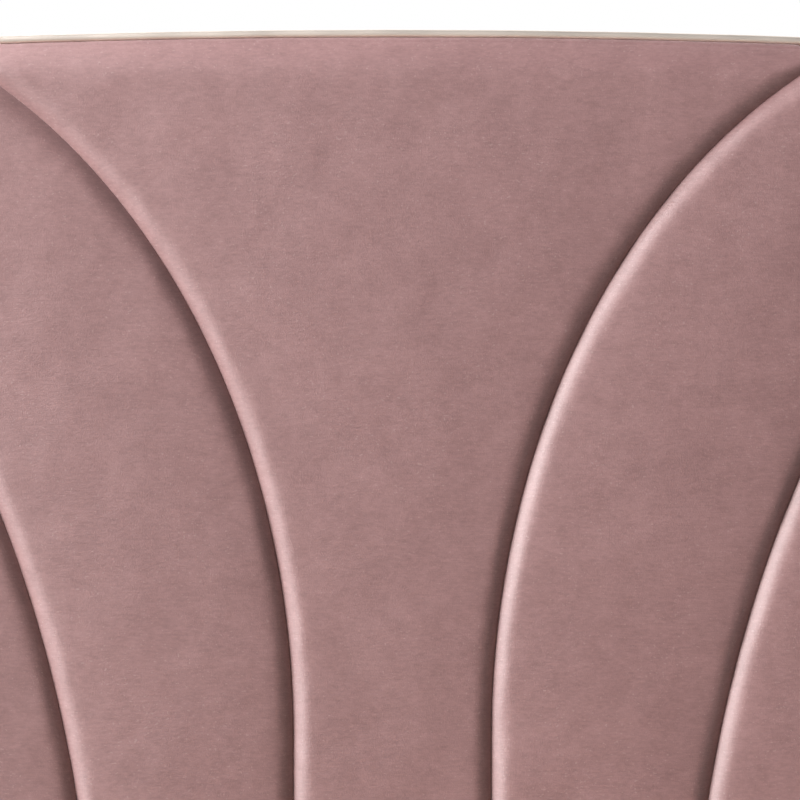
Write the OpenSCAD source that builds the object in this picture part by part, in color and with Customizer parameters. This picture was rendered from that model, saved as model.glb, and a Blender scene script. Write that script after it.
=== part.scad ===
// Queen-size bed with a tall upholstered headboard whose channels open like a fan.
// Millimetres, Z up. The origin is on the floor under the middle of the bed, and the headboard is at +Y.

/* [Mattress] */
// Width of the mattress the bed is made for
mattress_w = 1524; // [1200:1:1900]
// Length of the mattress
mattress_l = 2032; // [1680:1:2500]
// Free space round the mattress
mattress_play = 10; // [4:1:20]

/* [Headboard] */
// Height of the headboard at its crown
headboard_h = 1600; // [1300:1:2000]
// How far the headboard stands out past each side rail
headboard_overhang = 54; // [44:1:120]
// Fall of the top edge from the crown to the corners
crown_drop = 34; // [10:1:80]
// Outside radius of the top corners
corner_r = 60; // [25:1:110]
// Height of the lower edge of the channel pads
pad_z0 = 380; // [374:1:460]
// Thickness of the foam and cover of a channel pad
pad_t = 42; // [25:1:60]
// Thickness of the board behind each channel pad
pad_board_t = 6; // [4:1:10]
// Space between neighbouring pads
pad_gap = 0.8; // [0.3:0.1:2]
// Thickness of the plain covered panel below the pads
lower_panel_t = 12; // [9:1:18]
// Thickness of the plywood face board
face_t = 9; // [6:1:15]
// Thickness of the covered back panel
back_t = 4; // [3:1:8]

/* [Fan of seams] */
// Channel pads on each side of the centre one
pads_per_side = 4; // [2:1:5]
// Sideways reach of the innermost seam
fan_reach = 546; // [450:1:660]
// Added reach of each further seam
fan_reach_step = 136; // [100:1:170]
// Height over which the innermost seam opens
fan_drop = 720; // [600:1:870]
// Added height of each further seam
fan_drop_step = 291; // [240:1:350]
// Height above the pads at which the seams would lie level
fan_rise = 40; // [25:1:60]

/* [Trim] */
// Thickness of the metal trim, seen from the front
trim_t = 8; // [5:1:12]
// How far the front of the trim lies behind the front of the pads
trim_setback = 14; // [8:1:25]
// Width and thickness of the lip that turns in beside the pads
trim_lip = 2.5; // [1:0.5:4]

/* [Headboard frame] */
// Thickness of the frame's timber
frame_t = 38; // [32:1:50]
// Width of a post and of the centre stile
post_w = 80; // [64:1:96]
// Height of the bottom rail
bottom_rail_h = 150; // [125:1:180]
// Height of the middle rail
middle_rail_h = 70; // [58:1:90]
// Height of the middle rail's lower edge above the floor
middle_rail_z0 = 640; // [530:1:770]
// Height of the arched top rail at the crown
top_rail_h = 160; // [130:1:200]
// Length of a tenon
tenon_l = 35; // [20:1:45]
// Shoulder left above and below a tenon
tenon_shoulder = 15; // [8:1:20]
// Play of a tenon in its mortise
joint_play = 0.2; // [0.1:0.05:0.5]

/* [Rails] */
// Height of the side and foot rails over their covers
rail_h = 240; // [200:1:300]
// Thickness of a rail's timber core
rail_t = 25; // [20:1:32]
// Thickness of the foam and cover on a rail's outer face
rail_foam = 18; // [10:1:30]
// Thickness of the padding on a rail's top edge
rail_top_foam = 8; // [4:1:14]
// Thickness of the cover where it has no foam
wrap_t = 3; // [2:0.5:5]
// Height of the cover's inner hem
hem_h = 70; // [40:1:75]
// Space between the ends of the rails and what they meet
butt_gap = 0.4; // [0.2:0.1:1]

/* [Slats and centre rail] */
// Number of slats
slat_count = 12; // [10:1:12]
// Width of a slat
slat_w = 100; // [70:1:120]
// Thickness of a slat
slat_t = 20; // [16:1:26]
// Height of the slats' top above the legs
deck_h = 160; // [150:1:195]
// Thickness of a slat ledge
ledge_t = 30; // [22:1:38]
// Height of a slat ledge
ledge_h = 40; // [32:1:50]
// Space between the ends of a slat and the rails
slat_play = 5; // [2:1:10]
// Width of the centre rail
centre_rail_w = 35; // [28:1:45]
// Height of the centre rail
centre_rail_h = 60; // [45:1:75]
// Side of a square centre leg
centre_leg_w = 45; // [36:1:55]
// Distance between the two centre legs
centre_leg_span = 700; // [500:1:1000]

/* [Legs and feet] */
// Height of the bed's underside above the floor
leg_h = 130; // [100:1:200]
// Radius of a corner leg at its top
leg_r_top = 22; // [18:0.5:26]
// Radius of a corner leg at its foot
leg_r_foot = 13; // [10:0.5:16]
// Radius of a corner leg's nylon glide
glide_r = 12; // [8:0.5:15]
// Thickness of a corner leg's nylon glide
glide_t = 5; // [3:0.5:8]
// Side of the square plate a corner leg screws into
leg_plate_w = 46; // [40:1:52]
// Thickness of that plate
leg_plate_t = 3; // [2:0.5:5]
// Travel of a centre leg's levelling foot
leveller_travel = 12; // [6:1:18]
// Radius of a levelling foot's pad
leveller_pad_r = 16; // [14:0.5:22]
// Height of a levelling foot's pad
leveller_pad_h = 10; // [8:0.5:14]

/* [Hardware] */
// Length of each arm of a corner bracket
bracket_arm = 70; // [60:1:90]
// Thickness of a corner bracket
bracket_t = 4; // [3:0.5:6]
// Space above and below a corner bracket
bracket_clear = 12; // [6:1:14]
// Distance of a bracket's bolts from its corner
bolt_offset = 45; // [34:1:52]
// Radius of a bracket bolt and of a levelling foot's stud
bolt_r = 4; // [3:0.5:4]
// Radius of a wood screw's shank
screw_r = 2; // [1.5:0.25:2.5]
// Plate thickness of the centre rail's hangers
hanger_t = 3; // [2:0.5:4]

/* [Hidden] */
$fn = 48;
eps = 0.01;          // how far a cutter runs past the face it cuts

// Fits of round parts
thread_fit = 0.05;   // radial play of a bolt in its nut and of a screw in its pilot hole
bolt_fit = 0.5;      // radial play of a bolt in wood or in a bracket
swivel_fit = 0.06;   // radial play of a stud's foot in its pad
nut_fit = 0.1;       // radial play of a T-nut in wood

// T-nut, bolt head and screw head
nut_barrel_r = bolt_r + 1.2;
nut_barrel_l = 10;
nut_flange_r = 11;
nut_flange_t = 1.5;
bolt_head_r = 1.9 * bolt_r;
bolt_head_h = 5.3;
screw_head_r = 2.1 * screw_r;
screw_head_h = 2.6;
screw_tip_l = 5;

// Plan of the rails, outwards from the middle of the bed
cover_in_x = mattress_w / 2 + mattress_play;
core_in_x = cover_in_x + wrap_t;
core_out_x = core_in_x + rail_t;
cover_out_x = core_out_x + rail_foam;

// Plan along the bed, from the back of the headboard to the front of the foot rail
pad_stack = pad_board_t + pad_t;
head_depth = back_t + frame_t + face_t + pad_stack;
foot_depth = wrap_t + rail_t + rail_foam;
overall_l = head_depth + mattress_l + 2 * mattress_play + foot_depth;
y_back = overall_l / 2;
y_frame_back = y_back - back_t;
y_frame_front = y_frame_back - frame_t;
y_face_front = y_frame_front - face_t;
y_lower_front = y_face_front - lower_panel_t;
y_board_front = y_face_front - pad_board_t;
y_pad_front = y_board_front - pad_t;
y_cover_in = y_pad_front - mattress_l - 2 * mattress_play;
y_core_in = y_cover_in - wrap_t;
y_core_out = y_core_in - rail_t;
y_foot = y_core_out - rail_foam;
y_trim_front = y_pad_front + trim_setback;

// Heights
core_z0 = leg_h + leg_plate_t;
rail_z1 = leg_h + rail_h;
core_z1 = rail_z1 - rail_top_foam;
deck_z = leg_h + deck_h;
slat_z0 = deck_z - slat_t;
ledge_z0 = slat_z0 - ledge_h;
hem_z = max(rail_z1 - hem_h, deck_z + 2);
centre_rail_z0 = slat_z0 - centre_rail_h;
bracket_z0 = core_z0 + bracket_clear;
bracket_z1 = ledge_z0 - bracket_clear;
top_rail_z0 = headboard_h - top_rail_h;

// Headboard outline: straight sides, two corner arcs and one long arc over the top
headboard_w = 2 * (cover_out_x + headboard_overhang);
half_w = headboard_w / 2;
crown_r = (half_w * half_w + crown_drop * crown_drop) / (2 * crown_drop);
crown_cz = headboard_h - crown_r;
corner_x = half_w - corner_r;
corner_z = crown_cz + sqrt(pow(crown_r - corner_r, 2) - corner_x * corner_x);
corner_turn = atan2(corner_z - crown_cz, corner_x);
corner_steps = 10;
crown_steps = 40;
post_x1 = half_w - trim_t;
post_x0 = post_x1 - post_w;

// Fan of seams
fan_pitch = (headboard_w - 2 * trim_t) / (2 * pads_per_side + 1);
fan_z = headboard_h - trim_t + fan_rise;
fan_low_z = fan_z - fan_drop - (pads_per_side + 1) * fan_drop_step;
seam_steps = 28;

// Corner brackets: the bolt rows sit a third of the way in from the bracket's top and bottom
bracket_h = bracket_z1 - bracket_z0;
bolt_rows = [bracket_z0 + bracket_h / 4, bracket_z1 - bracket_h / 4];
head_stack = lower_panel_t + face_t + frame_t;

// Centre legs and levelling feet
centre_legs_y = [centre_leg_span / 2, -centre_leg_span / 2];
collar_h = 6;
collar_gap = 0.5;
stud_l = 30 + leveller_travel;
stud_foot_r = bolt_r + 1;
stud_foot_t = 4;
pad_floor_t = 3;
collar_z0 = leveller_pad_h + 1;
centre_leg_z0 = collar_z0 + collar_h + collar_gap + nut_flange_t;

// Corner legs
boss_r = bolt_r + 4;
boss_h = 14;
plate_screw = leg_plate_w / 2 - 7;
head_leg_pos = [(post_x0 + post_x1) / 2, y_frame_back - frame_t / 2];
foot_leg_pos = [core_in_x - boss_r - 0.5, y_core_in + boss_r + 0.5];

// Slats: the first and last lie just inside the foot rail and the pads
slat_y0 = y_cover_in + slat_play + slat_w / 2;
slat_y1 = y_pad_front - slat_play - slat_w / 2;
slat_pitch = (slat_y1 - slat_y0) / (slat_count - 1);
slat_half_l = core_in_x - slat_play;
slat_screw_x = core_in_x - ledge_t / 2;

// Screw lengths
slat_screw_l = slat_t + ledge_h / 2;
ledge_screw_l = ledge_t + 0.7 * rail_t;
hanger_screw_l = 0.8 * rail_t;
plate_screw_l = 25;
leg_screw_l = centre_rail_h + 35;

// Slat ledge screws: between slats, one gap in two
ledge_screws_y = [for (i = [0 : 2 : slat_count - 2]) slat_y0 + (i + 0.5) * slat_pitch];

SLAT_NODES = [for (i = [1 : slat_count]) slat_name(i)];
PAD_NODES = [for (side = ["left", "right"], i = [1 : pads_per_side]) pad_name(side, i)];

function slat_name(i) = str("slat_", i < 10 ? "0" : "", i);
function pad_name(side, i) = str("channel_pad_", side, "_", i);

// ---- Outlines -------------------------------------------------------------------------------

function arc(cx, cz, r, from, to, steps) =
    [for (i = [0 : steps]) let (t = from + (to - from) * i / steps) [cx + r * cos(t), cz + r * sin(t)]];

// The headboard's front outline, moved in by inset and cut off level at z0.
function headboard_outline(inset, z0) = concat(
    [[half_w - inset, z0]],
    arc(corner_x, corner_z, corner_r - inset, 0, corner_turn, corner_steps),
    crown_points(inset),
    arc(-corner_x, corner_z, corner_r - inset, 180 - corner_turn, 180, corner_steps),
    [[-(half_w - inset), z0]]);

// The long arc's points between the corner arcs' ends.
function crown_points(inset) =
    [for (i = [1 : crown_steps - 1]) let (t = corner_turn + (180 - 2 * corner_turn) * i / crown_steps)
        [(crown_r - inset) * cos(t), crown_cz + (crown_r - inset) * sin(t)]];

// Seam k of the fan on the right-hand side: a quarter of an ellipse that starts upright, moved by dx.
function fan_seam(k, dx) =
    let (a = fan_reach + k * fan_reach_step, b = fan_drop + k * fan_drop_step, x0 = (k + 0.5) * fan_pitch)
    concat([[x0 + dx, fan_low_z]],
           [for (i = [0 : seam_steps]) let (t = 90 * i / seam_steps)
               [x0 + a * (1 - cos(t)) + dx, fan_z - b + b * sin(t)]]);

function reversed(list) = [for (i = [len(list) - 1 : -1 : 0]) list[i]];
function mirrored(list) = [for (p = list) [-p[0], p[1]]];

// The strip of the fan that pad i fills, before it is cut to the outline. Pad 0 is the centre one.
function fan_strip(i, gap) =
    let (outer = i < pads_per_side ? fan_seam(i, -gap / 2) : [[headboard_w, fan_low_z], [headboard_w, fan_z]],
         inner = i == 0 ? mirrored(outer) : fan_seam(i - 1, gap / 2))
    concat(outer, reversed(inner));

// ---- Helpers --------------------------------------------------------------------------------

// A box from its lowest to its highest corner.
module span(low, high) {
    translate(low) cube(high - low);
}

// Extrudes an X-Z outline from the plane y1 forwards to the plane y0.
module upright(y0, y1) {
    translate([0, y1, 0]) rotate([90, 0, 0]) linear_extrude(y1 - y0) children();
}

module both_sides() {
    children();
    mirror([1, 0, 0]) children();
}

module side(name) {
    mirror([name == "left" ? 1 : 0, 0, 0]) children();
}

// A tenon that stands up from z = 0, or with play the mortise for it.
module tenon(w, play = 0) {
    translate([-w / 2 - play, -frame_t / 6 - play, -eps])
        cube([w + 2 * play, frame_t / 3 + 2 * play, tenon_l + play + eps]);
}

// M8-style bolt whose washer face is at z = 0 and whose tip is at z = l.
module bolt(l) {
    translate([0, 0, -bolt_head_h]) cylinder(h = bolt_head_h, r = bolt_head_r, $fn = 6);
    cylinder(h = l, r = bolt_r);
}

// T-nut whose flange is flush with the far face of wood w thick.
module t_nut(w) {
    difference() {
        union() {
            translate([0, 0, w - nut_flange_t]) cylinder(h = nut_flange_t, r = nut_flange_r);
            translate([0, 0, w - nut_flange_t - nut_barrel_l]) cylinder(h = nut_barrel_l + eps, r = nut_barrel_r);
        }
        translate([0, 0, w - nut_flange_t - nut_barrel_l - 1])
            cylinder(h = nut_barrel_l + nut_flange_t + 2, r = bolt_r + thread_fit);
    }
}

// What is drilled through wood w thick for a bolt and its T-nut.
module bolt_hole(w) {
    translate([0, 0, -eps]) cylinder(h = w + 2 * eps, r = bolt_r + bolt_fit);
    translate([0, 0, w - nut_flange_t - nut_barrel_l - nut_fit])
        cylinder(h = nut_barrel_l + nut_flange_t + 1, r = nut_barrel_r + nut_fit);
    translate([0, 0, w - nut_flange_t - nut_fit]) cylinder(h = nut_flange_t + 1, r = nut_flange_r + nut_fit);
}

// Countersunk wood screw driven towards +Z from z = 0, or with play the pilot hole for it.
module wood_screw(l, play = 0, r = screw_r) {
    head_r = screw_head_r * r / screw_r;
    translate([0, 0, play > 0 ? -eps : 0]) {
        cylinder(h = screw_head_h, r1 = head_r + play, r2 = r + play);
        cylinder(h = l - screw_tip_l, r = r + play);
        translate([0, 0, l - screw_tip_l]) cylinder(h = screw_tip_l + play, r1 = r + play, r2 = 0.4 + play);
    }
}

// ---- Places of the fasteners, each with +Z pointing into the wood ---------------------------

module at_head_bolts() {
    for (sx = [-1, 1], z = bolt_rows)
        translate([sx * (core_in_x - bolt_offset), y_lower_front, z]) rotate([-90, 0, 0]) children();
}

module at_foot_bolts() {
    for (sx = [-1, 1], z = bolt_rows)
        translate([sx * (core_in_x - bolt_offset), y_core_in, z]) rotate([90, 0, 0]) children();
}

module at_side_bolts() {
    for (sx = [-1, 1], y = [y_lower_front - bolt_offset, y_core_in + bolt_offset], z = bolt_rows)
        translate([sx * core_in_x, y, z]) rotate([0, sx * 90, 0]) children();
}

module at_slat_screws(i) {
    for (sx = [-1, 1]) translate([sx * slat_screw_x, slat_y(i), deck_z]) rotate([180, 0, 0]) children();
}

module at_ledge_screws() {
    for (sx = [-1, 1], y = ledge_screws_y)
        translate([sx * (core_in_x - ledge_t), y, ledge_z0 + ledge_h / 4]) rotate([0, sx * 90, 0]) children();
}

module at_hanger_screws() {
    for (z = hanger_screw_rows()) {
        translate([0, y_lower_front - hanger_t, z]) rotate([-90, 0, 0]) children();
        translate([0, y_core_in + hanger_t, z]) rotate([90, 0, 0]) children();
    }
}

module at_leg_screws() {
    for (y = centre_legs_y) translate([0, y, slat_z0]) rotate([180, 0, 0]) children();
}

// The four corner leg plates; an inner-corner screw has no wood above it at the foot.
module at_leg_plates() {
    both_sides() {
        translate([head_leg_pos[0], head_leg_pos[1], leg_h]) children();
        translate([foot_leg_pos[0], foot_leg_pos[1], leg_h]) children();
    }
}

module at_plate_screws() {
    both_sides() {
        for (sx = [-1, 1], sy = [-1, 1])
            translate([head_leg_pos[0] + sx * plate_screw, head_leg_pos[1] + sy * plate_screw, leg_h]) children();
        for (s = [[1, 1], [1, -1], [-1, -1]])
            translate([foot_leg_pos[0] + s[0] * plate_screw, foot_leg_pos[1] + s[1] * plate_screw, leg_h])
                children();
    }
}

function slat_y(i) = slat_y0 + (i - 1) * slat_pitch;
function hanger_screw_rows() = [centre_rail_z0 + 0.3 * centre_rail_h, centre_rail_z0 + 0.7 * centre_rail_h];

// ---- Headboard frame ------------------------------------------------------------------------

module headboard_post(name) {
    color("burlywood") side(name) difference() {
        union() {
            span([post_x0, y_frame_front, core_z0], [post_x1 - pad_gap, y_frame_back, top_rail_z0]);
            translate([(post_x0 + post_x1) / 2, y_frame_back - frame_t / 2, top_rail_z0])
                tenon(post_w - 2 * tenon_shoulder);
        }
        rail_tenons(bottom_rail_h, core_z0, joint_play);
        rail_tenons(middle_rail_h, middle_rail_z0, joint_play);
        translate([head_leg_pos[0], head_leg_pos[1], core_z0 - eps]) cylinder(h = boss_h + 2, r = boss_r + 0.2);
        at_plate_screws() wood_screw(plate_screw_l, thread_fit);
    }
}

// The two tenons of a level rail of height h whose lower edge is at z0.
module rail_tenons(h, z0, play = 0) {
    both_sides() translate([post_x0, y_frame_back - frame_t / 2, z0 + h / 2])
        rotate([0, 90, 0]) tenon(h - 2 * tenon_shoulder, play);
}

module stile_tenon(z, up, play = 0) {
    translate([0, y_frame_back - frame_t / 2, z]) rotate([up ? 0 : 180, 0, 0])
        tenon(post_w - 2 * tenon_shoulder, play);
}

module headboard_bottom_rail() {
    color("burlywood") difference() {
        union() {
            span([-post_x0, y_frame_front, core_z0], [post_x0, y_frame_back, core_z0 + bottom_rail_h]);
            rail_tenons(bottom_rail_h, core_z0);
        }
        stile_tenon(core_z0 + bottom_rail_h, false, joint_play);
        at_head_bolts() bolt_hole(head_stack);
        at_hanger_screws() wood_screw(hanger_screw_l, thread_fit);
    }
}

// Half the middle rail's thickness is cut away at the back where the stile crosses it.
module headboard_middle_rail() {
    color("burlywood") difference() {
        union() {
            span([-post_x0, y_frame_front, middle_rail_z0],
                 [post_x0, y_frame_back, middle_rail_z0 + middle_rail_h]);
            rail_tenons(middle_rail_h, middle_rail_z0);
        }
        span([-post_w / 2 - joint_play, y_frame_back - frame_t / 2 - joint_play, middle_rail_z0 - eps],
             [post_w / 2 + joint_play, y_frame_back + eps, middle_rail_z0 + middle_rail_h + eps]);
    }
}

module headboard_stile() {
    z0 = core_z0 + bottom_rail_h;
    z1 = top_rail_z0;
    color("burlywood") difference() {
        union() {
            span([-post_w / 2, y_frame_front, z0], [post_w / 2, y_frame_back, z1]);
            stile_tenon(z0, false);
            stile_tenon(z1, true);
        }
        span([-post_w, y_frame_front - eps, middle_rail_z0 - joint_play],
             [post_w, y_frame_back - frame_t / 2, middle_rail_z0 + middle_rail_h + joint_play]);
    }
}

module headboard_top_rail() {
    color("burlywood") difference() {
        upright(y_frame_front, y_frame_back) polygon(headboard_outline(trim_t + pad_gap, top_rail_z0));
        both_sides() translate([(post_x0 + post_x1) / 2, y_frame_back - frame_t / 2, top_rail_z0])
            tenon(post_w - 2 * tenon_shoulder, joint_play);
        stile_tenon(top_rail_z0, true, joint_play);
    }
}

module headboard_face_board() {
    color("tan") difference() {
        upright(y_face_front, y_frame_front) polygon(headboard_outline(trim_t + pad_gap, core_z0));
        at_head_bolts() bolt_hole(head_stack);
        at_hanger_screws() wood_screw(hanger_screw_l, thread_fit);
    }
}

module headboard_back_panel() {
    color("rosybrown") upright(y_frame_back, y_back) polygon(headboard_outline(trim_t + pad_gap, core_z0));
}

module headboard_lower_panel() {
    x = half_w - trim_t - pad_gap;
    color("rosybrown") difference() {
        span([-x, y_lower_front, core_z0], [x, y_face_front, pad_z0 - pad_gap]);
        at_head_bolts() bolt_hole(head_stack);
        at_hanger_screws() wood_screw(hanger_screw_l, thread_fit);
    }
}

// ---- Channel pads ---------------------------------------------------------------------------

// Pad i of the fan on the right-hand side, between the planes y0 and y1, with the given gap all round.
module fan_piece(i, y0, y1, gap) {
    intersection() {
        upright(y0, y1) polygon(fan_strip(i, gap));
        upright(y0, y1) polygon(headboard_outline(trim_t + trim_lip + gap, pad_z0));
    }
}

module channel_pad(i, name = "right") {
    color("rosybrown") side(name) fan_piece(i, y_pad_front, y_board_front, pad_gap);
}

// The boards are cut a little smaller than the pads, so that the cover can turn round their edges.
module channel_boards() {
    board_gap = pad_gap + 2 * wrap_t;
    color("tan") {
        fan_piece(0, y_board_front, y_face_front, board_gap);
        for (i = [1 : pads_per_side]) both_sides() fan_piece(i, y_board_front, y_face_front, board_gap);
    }
}

// ---- Metal trim -----------------------------------------------------------------------------

// Section of the trim: x runs outwards to the trim's outer face, y forwards from the back of the headboard.
// The front edge is a half round, and a thin lip turns in behind it beside the pads.
module trim_section() {
    depth = y_back - y_trim_front;
    translate([-trim_t / 2, depth - trim_t / 2]) circle(r = trim_t / 2);
    translate([-trim_t, 0]) square([trim_t, depth - trim_t / 2]);
    translate([-trim_t - trim_lip, depth - trim_t - trim_lip]) square([trim_t, trim_lip]);
}

// The section swept round an arc in the X-Z plane.
module trim_arc(cx, cz, r, from, to, fn) {
    translate([cx, y_back, cz]) rotate([90, 0, 0]) rotate_extrude(angle = to - from, start = from, $fn = fn)
        translate([r, 0]) trim_section($fn = 48);
}

// The long bow over the top. It meets the two side lengths where the corner bends end.
module trim_top() {
    play = butt_gap / 2 / crown_r * 180 / PI;
    color("lightgray") trim_arc(0, crown_cz, crown_r, corner_turn + play, 180 - corner_turn - play, 1800);
}

// A straight length with a bend at its top end.
module trim_side(name) {
    color("lightgray") side(name) {
        trim_arc(corner_x, corner_z, corner_r, 0, corner_turn, 96);
        translate([half_w, y_back, core_z0]) mirror([0, 1, 0]) linear_extrude(corner_z - core_z0) trim_section();
    }
}

// ---- Rails ----------------------------------------------------------------------------------

module side_rail(name) {
    color("burlywood") side(name) difference() {
        span([core_in_x, y_core_in + butt_gap, core_z0], [core_out_x, y_lower_front - butt_gap, core_z1]);
        at_side_bolts() bolt_hole(rail_t);
        at_ledge_screws() wood_screw(ledge_screw_l, thread_fit);
        at_plate_screws() wood_screw(plate_screw_l, thread_fit);
    }
}

module side_rail_cover(name) {
    y0 = y_core_in + butt_gap;
    y1 = y_lower_front - butt_gap;
    color("rosybrown") side(name) difference() {
        union() {
            span([core_in_x, y0, leg_h], [cover_out_x, y1, rail_z1]);
            span([cover_in_x, y0 + wrap_t, hem_z], [core_in_x + eps, y1, rail_z1]);
        }
        span([core_in_x, y0 - 1, core_z0], [core_out_x, y1 + 1, core_z1]);
        plate_notches();
    }
}

// Where the covers are cut away for the corner leg plates.
module plate_notches() {
    w = leg_plate_w / 2 + 1;
    at_leg_plates() span([-w, -w, -1], [w, w, leg_plate_t + eps]);
}

module foot_rail() {
    color("burlywood") difference() {
        span([-core_out_x, y_core_out, core_z0], [core_out_x, y_core_in, core_z1]);
        at_foot_bolts() bolt_hole(rail_t);
        at_hanger_screws() wood_screw(hanger_screw_l, thread_fit);
        at_plate_screws() wood_screw(plate_screw_l, thread_fit);
    }
}

module foot_rail_cover() {
    x = core_in_x - butt_gap;
    color("rosybrown") difference() {
        union() {
            span([-cover_out_x, y_foot, leg_h], [cover_out_x, y_core_in, rail_z1]);
            span([-x, y_core_in - eps, hem_z], [x, y_cover_in, rail_z1]);
        }
        span([-core_out_x, y_core_out, core_z0], [core_out_x, y_core_in + eps, core_z1]);
        plate_notches();
        // the corners of the hem stop at the side rails' covers
        both_sides() span([cover_in_x - butt_gap, y_core_in, hem_z - 1], [cover_out_x, y_cover_in + 1, rail_z1 + 1]);
    }
}

// ---- Slats, ledges and centre rail ----------------------------------------------------------

module slat_ledge(name) {
    color("burlywood") side(name) difference() {
        span([core_in_x - ledge_t, y_core_in + 2 * butt_gap, ledge_z0],
             [core_in_x, y_lower_front - 2 * butt_gap, slat_z0]);
        at_ledge_screws() wood_screw(ledge_screw_l, thread_fit);
        for (i = [1 : slat_count]) at_slat_screws(i) wood_screw(slat_screw_l, thread_fit);
    }
}

module slat(i) {
    color("wheat") difference() {
        span([-slat_half_l, slat_y(i) - slat_w / 2, slat_z0], [slat_half_l, slat_y(i) + slat_w / 2, deck_z]);
        at_slat_screws(i) wood_screw(slat_screw_l, thread_fit);
    }
}

module centre_rail() {
    gap = hanger_t + butt_gap;
    color("burlywood") difference() {
        span([-centre_rail_w / 2, y_core_in + gap, centre_rail_z0], [centre_rail_w / 2, y_lower_front - gap, slat_z0]);
        at_hanger_screws() translate([0, 0, -screw_head_h]) cylinder(h = 2 * screw_head_h, r = 2 * screw_head_r);
        at_leg_screws() wood_screw(leg_screw_l, thread_fit, 1.5 * screw_r);
    }
}

// A hanger is a back plate with two cheeks and a shelf, open at the top.
module centre_rail_hangers() {
    cheek = 40;
    x = centre_rail_w / 2 + butt_gap;
    color("dimgray") difference() {
        for (end = [0, 1])
            translate([0, end ? y_core_in : y_lower_front, 0]) mirror([0, end, 0]) {
                span([-x - hanger_t, -hanger_t, centre_rail_z0 - hanger_t], [x + hanger_t, 0, slat_z0 - 2]);
                span([-x - hanger_t, -cheek, centre_rail_z0 - hanger_t], [x + hanger_t, 0, centre_rail_z0]);
                for (s = [-1, 1]) translate([s * (x + hanger_t / 2), 0, 0])
                    span([-hanger_t / 2, -cheek, centre_rail_z0 - hanger_t], [hanger_t / 2, 0, slat_z0 - 2]);
            }
        at_hanger_screws() wood_screw(hanger_screw_l, thread_fit);
    }
}

module centre_leg(i) {
    w = centre_leg_w / 2;
    y = centre_legs_y[i];
    color("dimgray") difference() {
        span([-w, y - w, centre_leg_z0 - nut_flange_t], [w, y + w, centre_rail_z0]);
        translate([0, y, centre_leg_z0 - nut_flange_t]) {
            mirror([0, 0, 1]) translate([0, 0, -nut_barrel_l - nut_flange_t - 1])
                bolt_hole(nut_barrel_l + nut_flange_t + 1);
            cylinder(h = stud_l + 4, r = bolt_r + bolt_fit);
        }
        at_leg_screws() wood_screw(leg_screw_l, thread_fit, 1.5 * screw_r);
    }
}

// ---- Levelling feet -------------------------------------------------------------------------

module leveller_stud(i) {
    color("silver") translate([0, centre_legs_y[i], 0]) {
        translate([0, 0, pad_floor_t + swivel_fit]) cylinder(h = stud_foot_t, r = stud_foot_r);
        translate([0, 0, pad_floor_t + stud_foot_t]) cylinder(h = collar_z0 - pad_floor_t - stud_foot_t + eps, r = bolt_r - 1);
        translate([0, 0, collar_z0]) cylinder(h = collar_h, r = bolt_head_r, $fn = 6);
        translate([0, 0, collar_z0 + collar_h - eps]) cylinder(h = stud_l + eps, r = bolt_r);
    }
}

module leveller_pad(i) {
    color("black") translate([0, centre_legs_y[i], 0]) difference() {
        union() {
            cylinder(h = leveller_pad_h / 2, r = leveller_pad_r);
            translate([0, 0, leveller_pad_h / 2])
                cylinder(h = leveller_pad_h / 2, r1 = leveller_pad_r, r2 = stud_foot_r + 4);
        }
        translate([0, 0, pad_floor_t]) cylinder(h = stud_foot_t + 2 * swivel_fit, r = stud_foot_r + swivel_fit);
        translate([0, 0, pad_floor_t]) cylinder(h = leveller_pad_h, r = bolt_r - 1 + swivel_fit);
    }
}

// ---- Corner legs ----------------------------------------------------------------------------

// Tapered metal leg with a collar at its top and a stud that screws into the plate above it.
module corner_leg(pos, name) {
    collar_t = 4;
    color("lightgray") side(name) translate([pos[0], pos[1], 0]) {
        translate([0, 0, glide_t]) cylinder(h = leg_h - collar_t - glide_t, r1 = leg_r_foot, r2 = leg_r_top);
        translate([0, 0, leg_h - collar_t]) cylinder(h = collar_t, r = leg_r_top);
        translate([0, 0, leg_h - eps]) cylinder(h = boss_h, r = bolt_r);
    }
}

module leg_glides() {
    color("black") at_leg_plates() translate([0, 0, -leg_h]) cylinder(h = glide_t, r = glide_r);
}

module leg_plates() {
    w = leg_plate_w / 2;
    color("dimgray") difference() {
        at_leg_plates() difference() {
            union() {
                span([-w, -w, 0], [w, w, leg_plate_t]);
                cylinder(h = boss_h, r = boss_r);
            }
            translate([0, 0, -1]) cylinder(h = boss_h + 2, r = bolt_r + thread_fit);
        }
        at_plate_screws() wood_screw(plate_screw_l, thread_fit);
    }
}

// ---- Hardware -------------------------------------------------------------------------------

module corner_brackets() {
    color("dimgray") difference() {
        both_sides() for (end = [0, 1])
            translate([core_in_x, end ? y_core_in : y_lower_front, bracket_z0]) mirror([0, end, 0]) {
                span([-bracket_t, -bracket_arm, 0], [0, 0, bracket_h]);
                span([-bracket_arm, -bracket_t, 0], [0, 0, bracket_h]);
            }
        bracket_holes() translate([0, 0, -bracket_t - 1]) cylinder(h = bracket_t + 2, r = bolt_r + bolt_fit);
    }
}

module bracket_holes() {
    at_head_bolts() children();
    at_foot_bolts() children();
    at_side_bolts() children();
}

// Each bolt starts on the face of its bracket and ends flush with its T-nut.
module bracket_bolts() {
    color("silver") {
        at_head_bolts() translate([0, 0, -bracket_t]) bolt(head_stack + bracket_t);
        at_foot_bolts() translate([0, 0, -bracket_t]) bolt(rail_t + bracket_t);
        at_side_bolts() translate([0, 0, -bracket_t]) bolt(rail_t + bracket_t);
    }
}

module t_nuts() {
    color("silver") {
        at_head_bolts() t_nut(head_stack);
        at_foot_bolts() t_nut(rail_t);
        at_side_bolts() t_nut(rail_t);
        for (y = centre_legs_y)
            translate([0, y, centre_leg_z0 - nut_flange_t]) mirror([0, 0, 1])
                translate([0, 0, -nut_barrel_l - nut_flange_t]) t_nut(nut_barrel_l + nut_flange_t);
    }
}

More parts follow.
